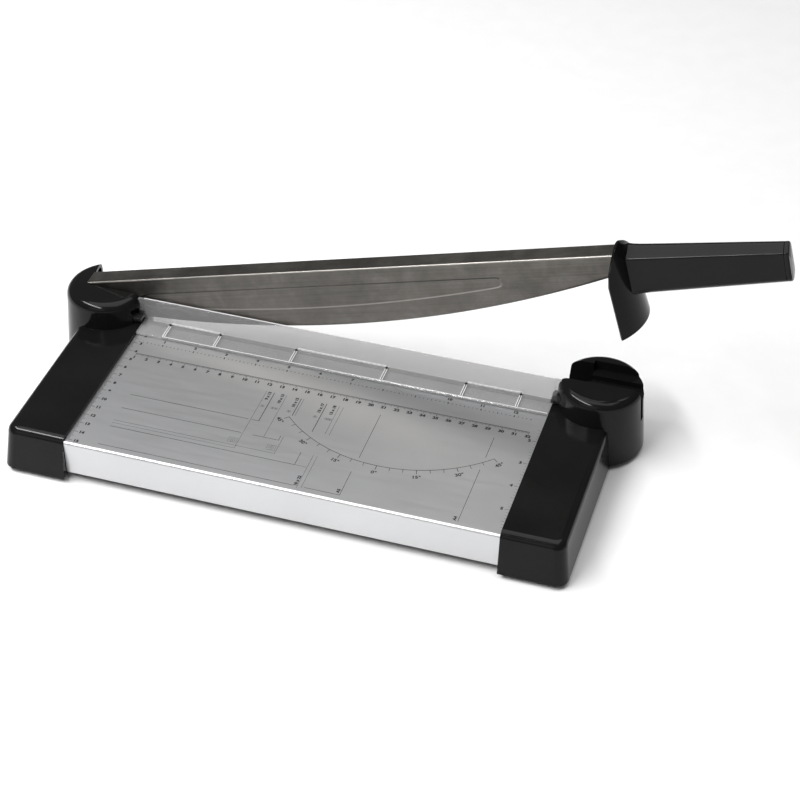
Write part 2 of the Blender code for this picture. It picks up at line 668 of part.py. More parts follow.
def make_guard(arm):
    """Curved shield that follows the right tower when the blade is down."""
    columns = 24
    rows = 10
    bm = bmesh.new()
    grid = []
    for column in range(columns + 1):
        share = 2.0 * column / columns - 1.0
        top = guard_top(TOWER_Y + guard_radius(GUARD_TOP) * math.sin(GUARD_SPAN_HIGH * share))
        line = []
        for row in range(rows + 1):
            z = GUARD_LOW + (top - GUARD_LOW) * row / rows
            rise = (z - GUARD_LOW) / (GUARD_TOP - GUARD_LOW)
            angle = share * (GUARD_SPAN_LOW + (GUARD_SPAN_HIGH - GUARD_SPAN_LOW) * rise)
            x = GUARD_AXIS + guard_radius(z) * math.cos(angle)
            y = TOWER_Y + guard_radius(z) * math.sin(angle)
            line.append(bm.verts.new((x, y, z)))
        grid.append(line)
    for first, second in zip(grid, grid[1:]):
        for row in range(rows):
            bm.faces.new((first[row], second[row], second[row + 1], first[row + 1]))
    mesh = bpy.data.meshes.new("shield")
    bm.to_mesh(mesh)
    bm.free()
    smooth(mesh)
    guard = place("hand_guard", mesh, arm, black_plastic)
    skin = guard.modifiers.new("thickness", "SOLIDIFY")
    skin.thickness = GUARD_THICKNESS
    skin.offset = 0.0
    margin = 0.0004
    low = (GUARD_AXIS, BLADE_FRONT - margin, TANG_LOW - margin)
    high = (GRIP_END, BLADE_FRONT + BLADE_THICKNESS + margin, TANG_HIGH + margin)
    boolean(guard, box_mesh("tang_slot", low, high))
    return guard


def make_clamp(root):
    """Clear rail that presses the paper down, with its rivets, guides and springs."""
    carriage = bpy.data.objects.new("clamp_slide", None)
    parts.objects.link(carriage)
    carriage.parent = root
    low = RAIL_GAP
    foot_top = low + RAIL_SHEET
    wall_front = RAIL_BACK - RAIL_SHEET
    points = [(RAIL_FRONT, low), (RAIL_BACK, low), (RAIL_BACK, RAIL_HEIGHT), (wall_front, RAIL_HEIGHT)]
    points += [(wall_front, foot_top), (RAIL_FRONT + 0.0008, foot_top), (RAIL_FRONT, foot_top - 0.0008)]
    mesh = outline_mesh("rail", points, TABLE_LENGTH - 2.0 * GAP, "YZ", TABLE_LENGTH / 2.0)
    rail = place("clamp_rail", mesh, carriage, clear_plastic)
    for side in ("left", "right"):
        lug = box_mesh(
            "lug", (-LUG_LENGTH, LUG_FRONT, LUG_LOW), (0.0010, wall_front - 0.0012, LUG_HIGH))
        lug.name = side + "_lug"
        boolean(rail, mirrored(lug, side), "UNION")
        web = box_mesh(
            side + "_web", (-0.0030, wall_front - 0.0025, LUG_LOW - 0.0004),
            (0.0010, RAIL_BACK, 0.0102))
        boolean(rail, mirrored(web, side), "UNION")
        hole = rod_mesh(
            side + "_hole", GUIDE_RADIUS + 0.0004, (-GUIDE_X, GUIDE_Y, 0.0), (-GUIDE_X, GUIDE_Y, 0.02),
            20)
        boolean(rail, mirrored(hole, side))
    for index, x in enumerate(RIVET_X):
        bottom = foot_top + GAP
        rivet = rod_mesh(
            "rivet", 0.0013, (x, -0.0052, bottom), (x, -0.0052, bottom + 0.0009), 14, 0.0009)
        place(f"rail_rivet_{index + 1}", rivet, carriage, black_plastic)
    for side in ("left", "right"):
        make_guide(root, side)


def make_guide(root, side):
    """Guide pin of the clamp rail and the return spring round it."""
    ceiling = TOWER_TOP - WALL - GAP
    pin = rod_mesh("pin", GUIDE_RADIUS, (-GUIDE_X, GUIDE_Y, 0.0016), (-GUIDE_X, GUIDE_Y, ceiling), 16)
    place(side + "_guide_pin", mirrored(pin, side), root, zinc_steel)
    wire = 0.00035
    turns = 5
    per_turn = 12
    low = LUG_HIGH + GAP + wire
    high = ceiling - wire - 0.0014
    curve = bpy.data.curves.new("coil", "CURVE")
    curve.dimensions = "3D"
    curve.bevel_depth = wire
    curve.bevel_resolution = 2
    curve.use_fill_caps = True
    spline = curve.splines.new("POLY")
    count = turns * per_turn
    spline.points.add(count)
    for index, point in enumerate(spline.points):
        angle = 2.0 * math.pi * index / per_turn
        x = -GUIDE_X + 0.0029 * math.cos(angle)
        y = GUIDE_Y + 0.0029 * math.sin(angle)
        point.co = (x, y, low + (high - low) * index / count, 1.0)
    shape = bpy.data.objects.new("coil", curve)
    bpy.context.scene.collection.objects.link(shape)
    depsgraph = bpy.context.evaluated_depsgraph_get()
    mesh = bpy.data.meshes.new_from_object(shape.evaluated_get(depsgraph))
    bpy.data.objects.remove(shape, do_unlink=True)
    bm = bmesh.new()
    bm.from_mesh(mesh)
    bmesh.ops.remove_doubles(bm, verts=bm.verts, dist=0.00001)
    coil = mesh_from(bm, "coil")
    smooth(coil)
    place(side + "_clamp_spring", mirrored(coil, side), root, zinc_steel)


def centre_on_origin(root):
    """Move the assembly so that the origin is at the middle of its base."""
    bpy.context.view_layer.update()
    depsgraph = bpy.context.evaluated_depsgraph_get()
    low = Vector((1.0, 1.0, 1.0))
    high = Vector((-1.0, -1.0, -1.0))
    for item in parts.objects:
        if item.type != "MESH":
            continue
        solid = item.evaluated_get(depsgraph)
        for vert in solid.data.vertices:
            point = item.matrix_world @ vert.co
            low = Vector(map(min, low, point))
            high = Vector(map(max, high, point))
    root.location = (-(low.x + high.x) / 2.0, -(low.y + high.y) / 2.0, -low.z)


clear_scene()
parts = new_collection(COLLECTION)
cutters = new_collection(COLLECTION + "_cutters")

silver_paint = new_material("silver_paint", (0.62, 0.63, 0.64), 0.35, 0.6)
black_plastic = new_material("black_plastic", (0.012, 0.012, 0.013), 0.32)
dark_plastic = new_material("dark_plastic", (0.03, 0.03, 0.032), 0.55)
blade_steel = new_material("blade_steel", (0.22, 0.20, 0.18), 0.35, 1.0)
zinc_steel = new_material("zinc_steel", (0.60, 0.60, 0.62), 0.3, 1.0)
brass = new_material("brass", (0.72, 0.52, 0.22), 0.3, 1.0)
black_rubber = new_material("black_rubber", (0.015, 0.015, 0.015), 0.85)
clear_plastic = new_material("clear_plastic", (0.92, 0.95, 0.96), 0.08, 0.0, 0.35)

assembly = bpy.data.objects.new("assembly", None)
parts.objects.link(assembly)
blade_arm = bpy.data.objects.new("blade_arm", None)
parts.objects.link(blade_arm)
blade_arm.parent = assembly
blade_arm.location = PIVOT
blade_arm.rotation_euler = (0.0, -REST_ANGLE, 0.0)

make_table(assembly)
make_fixed_blade(assembly)
make_pivot(assembly)
for hand in ("left", "right"):
    make_cover(assembly, hand)
    make_bottom_plate(assembly, hand)
    make_cover_screws(assembly, hand)
    make_feet(assembly, hand)
make_clamp(assembly)
make_blade(blade_arm)
make_guard(blade_arm)
make_handle(blade_arm)
centre_on_origin(assembly)
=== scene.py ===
"""Looks of a guillotine paper cutter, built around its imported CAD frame.

Lengths are in metres. "Cut frame" below means: X along the cut from the left stop,
Y = 0 in the plane of the cut with the operator at -Y, Z = 0 on top of the table.
"""
import json
import math

import bmesh
import bpy
from mathutils import Matrix, Vector


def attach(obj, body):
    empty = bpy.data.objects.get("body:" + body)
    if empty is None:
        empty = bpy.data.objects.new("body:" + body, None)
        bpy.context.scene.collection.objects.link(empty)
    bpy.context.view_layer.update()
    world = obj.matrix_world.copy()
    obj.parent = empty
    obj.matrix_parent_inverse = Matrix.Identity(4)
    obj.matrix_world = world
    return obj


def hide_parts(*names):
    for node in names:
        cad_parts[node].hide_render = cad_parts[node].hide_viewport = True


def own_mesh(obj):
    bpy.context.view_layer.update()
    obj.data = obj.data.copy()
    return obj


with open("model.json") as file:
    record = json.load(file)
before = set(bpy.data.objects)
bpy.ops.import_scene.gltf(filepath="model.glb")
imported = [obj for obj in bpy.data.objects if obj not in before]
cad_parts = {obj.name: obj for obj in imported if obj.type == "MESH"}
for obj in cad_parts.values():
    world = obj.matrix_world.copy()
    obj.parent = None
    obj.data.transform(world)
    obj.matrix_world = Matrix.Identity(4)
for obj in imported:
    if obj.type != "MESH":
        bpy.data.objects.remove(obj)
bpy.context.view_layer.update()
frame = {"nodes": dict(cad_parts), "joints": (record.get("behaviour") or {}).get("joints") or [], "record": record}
nodes = frame["nodes"]

# ---------------------------------------------------------------- places from the frame
JOINTS = {joint["name"]: joint for joint in frame["joints"]}
PIVOT = Vector(JOINTS["blade_hinge"]["pos_m"])
PIVOT_IN_CUT_FRAME = Vector((-0.0320, 0.0, -0.0060))
ORIGIN = PIVOT - PIVOT_IN_CUT_FRAME
REST_ANGLE = math.radians(15.47)
# Pieces of the blade arm are drawn with the blade closed along X and the pivot at zero.
ARM_MATRIX = Matrix.Translation(PIVOT) @ Matrix.Rotation(-REST_ANGLE, 4, "Y")

TABLE_LENGTH = 0.3288

# ---------------------------------------------------------------- node material helpers


class Nodes:
    """Short calls for building one material's node tree."""

    # Sockets of the Mix node when it mixes colours.
    MIX_FACTOR, MIX_FIRST, MIX_SECOND, MIX_RESULT = 0, 6, 7, 2

    def __init__(self, name):
        self.material = bpy.data.materials.new(name)
        self.material.use_nodes = True
        self.tree = self.material.node_tree
        self.shader = self.tree.nodes["Principled BSDF"]
        coordinates = self.tree.nodes.new("ShaderNodeTexCoord")
        self.place = coordinates.outputs["Object"]

    def set(self, **values):
        """Fixed values of the shader's sockets, with _ for a space."""
        for name, value in values.items():
            self.shader.inputs[name.replace("_", " ")].default_value = value

    def link(self, output, socket):
        """Lead an output into a socket of the shader."""
        self.tree.links.new(output, self.shader.inputs[socket])

    def mapped(self, scale, turn=0.0):
        """Object coordinates, turned about Y and then stretched."""
        vector = self.place
        for socket, value in (("Rotation", (0.0, turn, 0.0)), ("Scale", scale)):
            mapping = self.tree.nodes.new("ShaderNodeMapping")
            mapping.inputs[socket].default_value = value
            self.tree.links.new(vector, mapping.inputs["Vector"])
            vector = mapping.outputs["Vector"]
        return vector

    def attribute(self, name):
        """A value stored on the mesh, or 0 where the mesh has none."""
        node = self.tree.nodes.new("ShaderNodeAttribute")
        node.attribute_name = name
        return node.outputs["Fac"]

    def noise(self, scale, detail=3.0, vector=None, roughness=0.5, distortion=0.0):
        """Soft noise from 0 to 1."""
        texture = self.tree.nodes.new("ShaderNodeTexNoise")
        texture.inputs["Scale"].default_value = scale
        texture.inputs["Detail"].default_value = detail
        texture.inputs["Roughness"].default_value = roughness
        texture.inputs["Distortion"].default_value = distortion
        self.tree.links.new(vector or self.place, texture.inputs["Vector"])
        return texture.outputs["Fac"]

    def ramp(self, factor, *stops):
        """Colours by value, from pairs of a position and a colour."""
        ramp = self.tree.nodes.new("ShaderNodeValToRGB")
        band = ramp.color_ramp
        while len(band.elements) < len(stops):
            band.elements.new(0.5)
        for element, (position, colour) in zip(band.elements, stops):
            element.position = position
            element.color = (*colour, 1.0)
        self.tree.links.new(factor, ramp.inputs["Fac"])
        return ramp.outputs["Color"]

    def span(self, factor, low, high, start=0.0, end=1.0):
        """Map start..end to low..high, held at both ends."""
        part = self.tree.nodes.new("ShaderNodeMapRange")
        part.inputs["From Min"].default_value = start
        part.inputs["From Max"].default_value = end
        part.inputs["To Min"].default_value = low
        part.inputs["To Max"].default_value = high
        self.tree.links.new(factor, part.inputs["Value"])
        return part.outputs["Result"]

    def mix(self, factor, first, second, blend="MIX"):
        """Mix two colours, each of them a socket or three numbers."""
        node = self.tree.nodes.new("ShaderNodeMix")
        node.data_type = "RGBA"
        node.blend_type = blend
        for value, socket in (
                (factor, self.MIX_FACTOR), (first, self.MIX_FIRST), (second, self.MIX_SECOND)):
            if isinstance(value, bpy.types.NodeSocket):
                self.tree.links.new(value, node.inputs[socket])
            elif socket == self.MIX_FACTOR:
                node.inputs[socket].default_value = value
            else:
                node.inputs[socket].default_value = (*value, 1.0)
        return node.outputs[self.MIX_RESULT]

    def add(self, first, second):
        """Sum of two values."""
        node = self.tree.nodes.new("ShaderNodeMath")
        node.operation = "ADD"
        for socket, value in zip(node.inputs, (first, second)):
            self.tree.links.new(value, socket)
        return node.outputs["Value"]

    def bump(self, height, strength, distance):
        """Raise the surface by a value."""
        node = self.tree.nodes.new("ShaderNodeBump")
        node.inputs["Strength"].default_value = strength
        node.inputs["Distance"].default_value = distance
        self.tree.links.new(height, node.inputs["Height"])
        self.link(node.outputs["Normal"], "Normal")


def grey(value):
    """A neutral colour."""
    return (value, value, value)


# ---------------------------------------------------------------- materials


def silver_paint():
    """Satin silver paint: fine metallic grain with slow tone changes and faint rub marks."""
    n = Nodes("silver_paint")
    n.set(Metallic=0.92, Specular_IOR_Level=0.5)
    dark, light = (0.56, 0.564, 0.572), (0.60, 0.604, 0.612)
    grain_share = 0.05
    slow = n.noise(9.0, 2.0)
    grain = n.noise(2600.0, 2.0)
    rub = n.noise(30.0, 4.0, n.mapped((1.0, 14.0, 6.0)))
    tone = n.ramp(slow, (0.3, dark), (0.7, light))
    flakes = n.ramp(grain, (0.35, grey(0.1)), (0.65, grey(0.9)))
    n.link(n.mix(grain_share, tone, flakes, "SOFT_LIGHT"), "Base Color")
    n.link(n.span(rub, 0.33, 0.37, 0.3, 0.7), "Roughness")
    n.bump(grain, 0.12, 0.00004)
    return n.material


def black_plastic(name="black_plastic", base=0.0062, low=0.10, high=0.15):
    """Glossy black moulding: a very fine grain and slightly duller patches."""
    n = Nodes(name)
    n.set(Specular_IOR_Level=0.17)
    patches = n.noise(26.0, 3.0)
    grain = n.noise(3800.0, 2.0)
    tone = n.ramp(patches, (0.3, grey(base * 0.85)), (0.75, grey(base * 1.2)))
    n.link(tone, "Base Color")
    rough = n.add(n.span(patches, low, high, 0.3, 0.7), n.span(grain, -0.02, 0.03))
    n.link(rough, "Roughness")
    n.bump(grain, 0.16, 0.00003)
    return n.material


def blade_steel():
    """Dark ground steel: grinding lines along the blade and a cloudy heat mottle.

    A value stored on the mesh paints a highlight into the colour where it is above 0, on leaf rims facing up and
    along the fold, and paints shade where it is below 0, on rims facing down.
    """
    n = Nodes("blade_steel")
    n.set(Metallic=0.88)
    dark, middle, light = (0.094, 0.088, 0.079), (0.112, 0.105, 0.095), (0.136, 0.128, 0.117)
    # Colours of the painted highlight and the painted shade on the leaf's rims and the fold.
    painted_rim_highlight, painted_rim_shade = (0.50, 0.48, 0.45), (0.012, 0.011, 0.010)
    along = n.mapped((1.0, 1.0, 1.0), REST_ANGLE)
    clouds = n.noise(34.0, 5.0, along, 0.62, 0.6)
    fine = n.noise(150.0, 4.0, along, 0.6)
    lines = n.noise(420.0, 3.0, n.mapped((0.03, 1.0, 2.6), REST_ANGLE))
    tone = n.ramp(clouds, (0.34, dark), (0.50, middle), (0.66, light))
    tone = n.mix(0.25, tone, n.ramp(fine, (0.3, grey(0.28)), (0.7, grey(0.72))), "SOFT_LIGHT")
    tone = n.mix(0.30, tone, n.ramp(lines, (0.3, grey(0.25)), (0.7, grey(0.75))), "SOFT_LIGHT")
    painted_rim_light = n.attribute("painted_rim_light")
    # Painted highlight where the stored value is above 0, then painted shade where it is below 0.
    tone = n.mix(n.span(painted_rim_light, 0.0, 0.60, 0.0, 1.0), tone, painted_rim_highlight)
    tone = n.mix(n.span(painted_rim_light, 0.0, 1.0, 0.0, -0.7), tone, painted_rim_shade)
    n.link(tone, "Base Color")
    n.link(n.span(clouds, 0.31, 0.42, 0.3, 0.7), "Roughness")
    n.bump(lines, 0.12, 0.00005)
    return n.material


def bright_steel(name, tone, low, high):
    """Plated small hardware: short turning marks and slight dulling."""
    n = Nodes(name)
    n.set(Metallic=1.0)
    dull = n.noise(180.0, 3.0)
    marks = n.noise(1500.0, 2.0, n.mapped((1.0, 1.0, 6.0)))
    dulled = tuple(channel * 0.8 for channel in tone)
    n.link(n.ramp(dull, (0.3, dulled), (0.7, tone)), "Base Color")
    n.link(n.span(dull, low, high, 0.3, 0.7), "Roughness")
    n.bump(marks, 0.1, 0.00003)
    return n.material


def rubber():
    """Matt rubber with a slightly dusty surface."""
    n = Nodes("black_rubber")
    dust = n.noise(260.0, 4.0)
    n.link(n.ramp(dust, (0.35, grey(0.012)), (0.8, grey(0.035))), "Base Color")
    n.link(n.span(dust, 0.72, 0.9), "Roughness")
    n.bump(dust, 0.25, 0.0001)
    return n.material


ACRYLIC_IOR = 1.49


def clear_plastic(name="clear_plastic", tone=0.36, cover=0.40):
    """Clear acrylic, slightly grey, with faint handling haze."""
    n = Nodes(name)
    n.set(IOR=ACRYLIC_IOR, Alpha=cover)
    haze = n.noise(60.0, 4.0)
    n.link(n.ramp(haze, (0.3, grey(tone * 0.94)), (0.7, grey(tone * 1.06))), "Base Color")
    n.link(n.span(haze, 0.06, 0.14, 0.35, 0.75), "Roughness")
    return n.material


def frosted():
    """Moulded edge of the clear rail, slightly cloudy; its near-white colour is a painted highlight for the light
    that the clear edges catch.
    """
    n = Nodes("edge_highlight_paint")
    n.set(IOR=ACRYLIC_IOR, Transmission_Weight=0.25)
    cloud = n.noise(300.0, 3.0)
    n.link(n.ramp(cloud, (0.3, grey(0.84)), (0.7, grey(0.92))), "Base Color")
    n.link(n.span(cloud, 0.25, 0.4), "Roughness")
    return n.material


def ink(name, tone):
    """Screen-printed ink: slightly uneven cover."""
    n = Nodes(name)
    cover = n.noise(900.0, 3.0)
    n.link(n.ramp(cover, (0.3, grey(tone)), (0.8, grey(tone * 1.5))), "Base Color")
    n.link(n.span(cover, 0.45, 0.6), "Roughness")
    return n.material


SILVER = silver_paint()
BLACK = black_plastic()
DARK = black_plastic("dark_plastic", base=0.022, low=0.5, high=0.62)
STEEL = blade_steel()
ZINC = bright_steel("zinc_steel", (0.62, 0.62, 0.63), low=0.22, high=0.38)
BRASS = bright_steel("brass", (0.72, 0.52, 0.22), low=0.25, high=0.4)
RUBBER = rubber()
CLEAR = clear_plastic()
# A dark copy of the clear plastic, for painted shade on the rail's ends inside the towers.
SHADED_CLEAR = clear_plastic("clear_plastic_in_shade", tone=0.020, cover=0.80)
PAINTED_EDGE_HIGHLIGHT = frosted()
INK_BLACK = ink("ink_black", 0.005)
INK_GREY = ink("ink_grey", 0.035)

SLOT_MATERIALS = {
    "silver_paint": SILVER, "black_plastic": BLACK, "dark_plastic": DARK, "blade_steel": STEEL,
    "zinc_steel": ZINC, "brass": BRASS, "black_rubber": RUBBER, "clear_plastic": CLEAR,
}
NODE_SLOT = {part["node"]: part["material_slot"] for part in frame["record"]["subparts"]}
BODY_MEMBERS = frame["record"]["behaviour"]["bodies"]
NODE_BODY = {node: body for body, members in BODY_MEMBERS.items() for node in members}

for name, node in nodes.items():
    node.data.materials.clear()
    node.data.materials.append(SLOT_MATERIALS[NODE_SLOT[name]])

# ---------------------------------------------------------------- mesh helpers

WELD_DISTANCE = 0.00002
FLAT_ANGLE = math.radians(1.0)
ROUNDED_ANGLE = math.radians(38.0)
NORMAL_WEIGHT = 80
LARGE_SMOOTH_ANGLE = 60.0


def finish_mesh(bm, name, material, body, matrix=None, smooth=40.0):
    """Turn a bmesh into a piece that rides on a body; edges sharper than smooth stay sharp."""
    bmesh.ops.recalc_face_normals(bm, faces=bm.faces)
    mesh = bpy.data.meshes.new(name)
    bm.to_mesh(mesh)
    bm.free()
    if matrix:
        mesh.transform(matrix)
    mesh.materials.append(material)
    piece = bpy.data.objects.new(name, mesh)
    bpy.context.scene.collection.objects.link(piece)
    if smooth:
        mesh.shade_smooth()
        mesh.set_sharp_from_angle(angle=math.radians(smooth))
    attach(piece, body)
    return piece


def add_bar(bm, x0, x1, y0, y1, z0, z1):
    """Add a closed box to a bmesh."""
    corners = [bm.verts.new((x, y, z)) for z in (z0, z1) for y in (y0, y1) for x in (x0, x1)]
    for face in (
            (0, 2, 3, 1), (4, 5, 7, 6), (0, 1, 5, 4), (2, 6, 7, 3), (0, 4, 6, 2), (1, 3, 7, 5)):
        bm.faces.new([corners[i] for i in face])


def refined(node, bevel, segments=2, smooth=32.0):
    """A copy of a CAD node with clean flat faces, small edge radii and smooth curves."""
    bm = bmesh.new()
    bm.from_mesh(nodes[node].data)
    bmesh.ops.remove_doubles(bm, verts=bm.verts, dist=WELD_DISTANCE)
    bmesh.ops.dissolve_limit(bm, angle_limit=FLAT_ANGLE, verts=bm.verts, edges=bm.edges)
    slot = NODE_SLOT[node]
    piece = finish_mesh(
        bm, node + "_skin", SLOT_MATERIALS[slot], NODE_BODY[node], smooth=smooth)
    rounding = piece.modifiers.new("edges", "BEVEL")
    rounding.width = bevel
    rounding.segments = segments
    rounding.limit_method = "ANGLE"
    rounding.angle_limit = ROUNDED_ANGLE
    rounding.miter_outer = "MITER_ARC"
    even = piece.modifiers.new("even_shading", "WEIGHTED_NORMAL")
    even.mode = "FACE_AREA_WITH_ANGLE"
    even.weight = NORMAL_WEIGHT
    even.keep_sharp = True
    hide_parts(node)
    return piece


def darken_lugs(rail):
    """Painted shade on the ends of the rail inside the towers: faces there take a dark copy of the clear plastic.
    """
    past_table = 0.0002
    rail.data.materials.append(SHADED_CLEAR)
    for face in rail.data.polygons:
        x = (rail.matrix_world @ face.center).x - ORIGIN.x
        if x < -past_table or x > TABLE_LENGTH + past_table:
            face.material_index = 1


COVER_EDGE = 0.0004
TABLE_EDGE = 0.0003
GUARD_EDGE = 0.0005
for name in nodes:
    if name in ("left_cover", "right_cover"):
        refined(name, COVER_EDGE)
    elif name == "base_table":
        refined(name, TABLE_EDGE)
    elif name == "clamp_rail":
        darken_lugs(refined(name, TABLE_EDGE))
    elif name == "hand_guard":
        refined(name, GUARD_EDGE, 3, LARGE_SMOOTH_ANGLE)


def make_coil(node):
    """Return spring of the clamp rail, copied from the CAD part in zinc with smooth shading."""
    bm = bmesh.new()
    bm.from_mesh(nodes[node].data)
    coil = finish_mesh(
        bm, node + "_coil", ZINC, NODE_BODY[node], smooth=LARGE_SMOOTH_ANGLE)
    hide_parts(node)
    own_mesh(coil)


for name in ("left_clamp_spring", "right_clamp_spring"):
    make_coil(name)

# ---------------------------------------------------------------- printing on the table

INK_LOW = 0.00001
INK_HIGH = 0.00005
INK_WELD = 0.000001
INCH = 0.0254
DIGIT_WEIGHT = 0.00021
ANGLE_WEIGHT = 0.00013
LABEL_WEIGHT = 0.00016
GLYPH_STRETCH = 1.15
ICON_LINE = 0.00016


class Print:
    """Ink shapes on top of the table, gathered into one piece."""

    def __init__(self, name, material):
        self.name = name
        self.material = material
        self.bm = bmesh.new()

    def line(self, x0, y0, x1, y1, width):
        """A straight stroke between two points of the table top."""
        start, end = Vector((x0, y0)), Vector((x1, y1))
        side = (end - start).orthogonal().normalized() * width / 2.0
        corners = [start - side, start + side, end + side, end - side]
        low, high = [
            [self.bm.verts.new((c.x, c.y, z)) for c in corners] for z in (INK_LOW, INK_HIGH)]
        self.bm.faces.new(low)
        self.bm.faces.new(high)
        for index in range(4):
            after = (index + 1) % 4
            self.bm.faces.new((low[index], low[after], high[after], high[index]))

    def band(self, centre, inner, outer, first, last, steps):
        """A curved stroke about a centre, between two angles in degrees."""
        closed = last - first >= 360.0
        count = steps if closed else steps + 1
        loop = []
        for index in range(count):
            angle = math.radians(first + (last - first) * index / steps)
            loop.append((math.cos(angle), math.sin(angle)))
        grid = []
        for radius, z in ((inner, INK_LOW), (outer, INK_LOW), (outer, INK_HIGH), (inner, INK_HIGH)):
            ring = []
            for c, s in loop:
                ring.append(self.bm.verts.new((centre[0] + radius * c, centre[1] + radius * s, z)))
            grid.append(ring)
        for one, two in zip(grid, grid[1:] + grid[:1]):
            for index in range(count if closed else count - 1):
                after = (index + 1) % count
                self.bm.faces.new((one[index], one[after], two[after], two[index]))
        if not closed:
            self.bm.faces.new([ring[0] for ring in grid])
            self.bm.faces.new([ring[-1] for ring in grid])

    def text(self, words, x, y, size, weight, turn=0.0):
        """Plain numerals centred on a point and turned by degrees."""
        curve = bpy.data.curves.new("glyphs", "FONT")
        curve.body = words
        curve.size = size
        curve.align_x = "CENTER"
        curve.align_y = "CENTER"
        curve.offset = weight
        curve.extrude = (INK_HIGH - INK_LOW) / 2.0
        curve.resolution_u = 3
        holder = bpy.data.objects.new("glyphs", curve)
        bpy.context.scene.collection.objects.link(holder)
        depsgraph = bpy.context.evaluated_depsgraph_get()
        mesh = bpy.data.meshes.new_from_object(holder.evaluated_get(depsgraph))
        bpy.data.objects.remove(holder, do_unlink=True)
        place = Matrix.Translation((x, y, (INK_HIGH + INK_LOW) / 2.0))
        wider = Matrix.Diagonal((GLYPH_STRETCH, 1.0, 1.0, 1.0))
        mesh.transform(place @ Matrix.Rotation(math.radians(turn), 4, "Z") @ wider)
        self.bm.from_mesh(mesh)
        bpy.data.meshes.remove(mesh)

    def finish(self):
        """Turn the gathered strokes into a piece on the table."""
        bmesh.ops.remove_doubles(self.bm, verts=self.bm.verts, dist=INK_WELD)
        finish_mesh(self.bm, self.name, self.material, "base",
                    Matrix.Translation(ORIGIN), smooth=0.0)


def print_cm_rulers(strong):
    """Centimetre scales: 1 to 32 along the rail and 2 to 15 down the left stop."""
    line_y, digits_y = -0.0418, -0.0469
    strong.line(0.0098, line_y, 0.3202, line_y, 0.00034)
    for mm in range(10, 321):
        x = mm / 1000.0
        length, width = 0.0015, 0.00030
        if mm % 10 == 0:
            length, width = 0.0027, 0.00038
        elif mm % 5 == 0:
            length, width = 0.0021, 0.00034
        strong.line(x, line_y, x, line_y - length, width)
        if mm % 10 == 0:
            strong.text(str(mm // 10), x, digits_y, 0.0037, DIGIT_WEIGHT)
    start, digits_x = 0.0012, 0.0084
    for mm in range(18, 151):
        y = -mm / 1000.0
        length, width = 0.0018, 0.00022
        if mm % 10 == 0:
            length, width = 0.0044, 0.00036
        elif mm % 5 == 0:
            length = 0.0032
        strong.line(start, y, start + length, y, width)
        if mm % 10 == 0:
            strong.text(str(mm // 10), digits_x, y, 0.0036, DIGIT_WEIGHT)


def print_inch_rulers(fine, strong):
    """Inch scales: 1 to 12 beside the rail and 2 to 5 down the right stop."""
    top, middle, low = -0.0183, -0.0231, -0.0276
    numbers_left_out = (8, 9)
    for eighth in range(2, 101):
        x = eighth * INCH / 8.0
        if eighth % 8 == 0:
            for y in (top, low):
                strong.line(x, y + 0.0010, x, y - 0.0010, 0.00080)
            if eighth // 8 not in numbers_left_out:
                strong.text(str(eighth // 8), x, middle, 0.0034, DIGIT_WEIGHT)
        elif eighth % 4 == 0:
            for y in (top, low):
                strong.line(x, y + 0.0008, x, y - 0.0008, 0.00050)
        else:
            strong.line(x, low + 0.0004, x, low - 0.0004, 0.00055)
            if eighth < 20 or eighth > 84:
                strong.line(x, top + 0.0002, x, top - 0.0002, 0.00036)
    edge = TABLE_LENGTH - 0.0012
    for eighth in range(12, 47):
        y = -eighth * INCH / 8.0
        if eighth % 8 == 0:
            strong.line(edge - 0.0030, y, edge, y, 0.00030)
            strong.text(str(eighth // 8), edge - 0.0052, y, 0.0036, DIGIT_WEIGHT)
        elif eighth % 4 == 0:
            strong.line(edge - 0.0020, y, edge, y, 0.00024)
        else:
            fine.line(edge - 0.0012, y, edge, y, 0.00024)


def print_protractor(fine, strong):
    """Angle scales from 45 degrees left to 45 degrees right of the line square to the cut."""
    centre = (0.2252, 0.0004)
    radius, small_radius = 0.1107, 0.0265
    half_line = 0.00021
    strong.band(centre, radius - half_line, radius + half_line, -135.0, -45.0, 90)
    for degrees in range(-45, 46, 5):
        angle = math.radians(degrees - 90.0)
        c, s = math.cos(angle), math.sin(angle)
        major = degrees % 15 == 0
        reach = radius + (0.0042 if major else 0.0034)
        strong.line(centre[0] + radius * c, centre[1] + radius * s,
                    centre[0] + reach * c, centre[1] + reach * s, 0.00046 if major else 0.00036)
        if major:
            away = radius + 0.0076
            strong.text(str(abs(degrees)) + "\u00b0", centre[0] + away * c, centre[1] + away * s,
                        0.0042, ANGLE_WEIGHT, degrees)
    for degrees in range(-45, 46, 3):
        angle = math.radians(degrees - 90.0)
        c, s = math.cos(angle), math.sin(angle)
        reach = small_radius + (0.0005 if degrees % 15 else 0.0009)
        fine.line(centre[0] + small_radius * c, centre[1] + small_radius * s,
                  centre[0] + reach * c, centre[1] + reach * s, 0.00028)


def print_format_icon(fine, x, y, height, ring):
    """A small outline of a photo with a ring in it."""
    width = height * 1.25
    for side in (-0.5, 0.5):
        post, bar = x + side * width, y + side * height
        fine.line(post, y - height / 2.0, post, y + height / 2.0, ICON_LINE)
        fine.line(x - width / 2.0, bar, x + width / 2.0, bar, ICON_LINE)
    hub = ring * 0.3
    fine.band((x, y), ring - ICON_LINE / 2.0, ring + ICON_LINE / 2.0, 0.0, 360.0, 24)
    fine.band((x, y), hub, hub + ICON_LINE, 0.0, 360.0, 16)


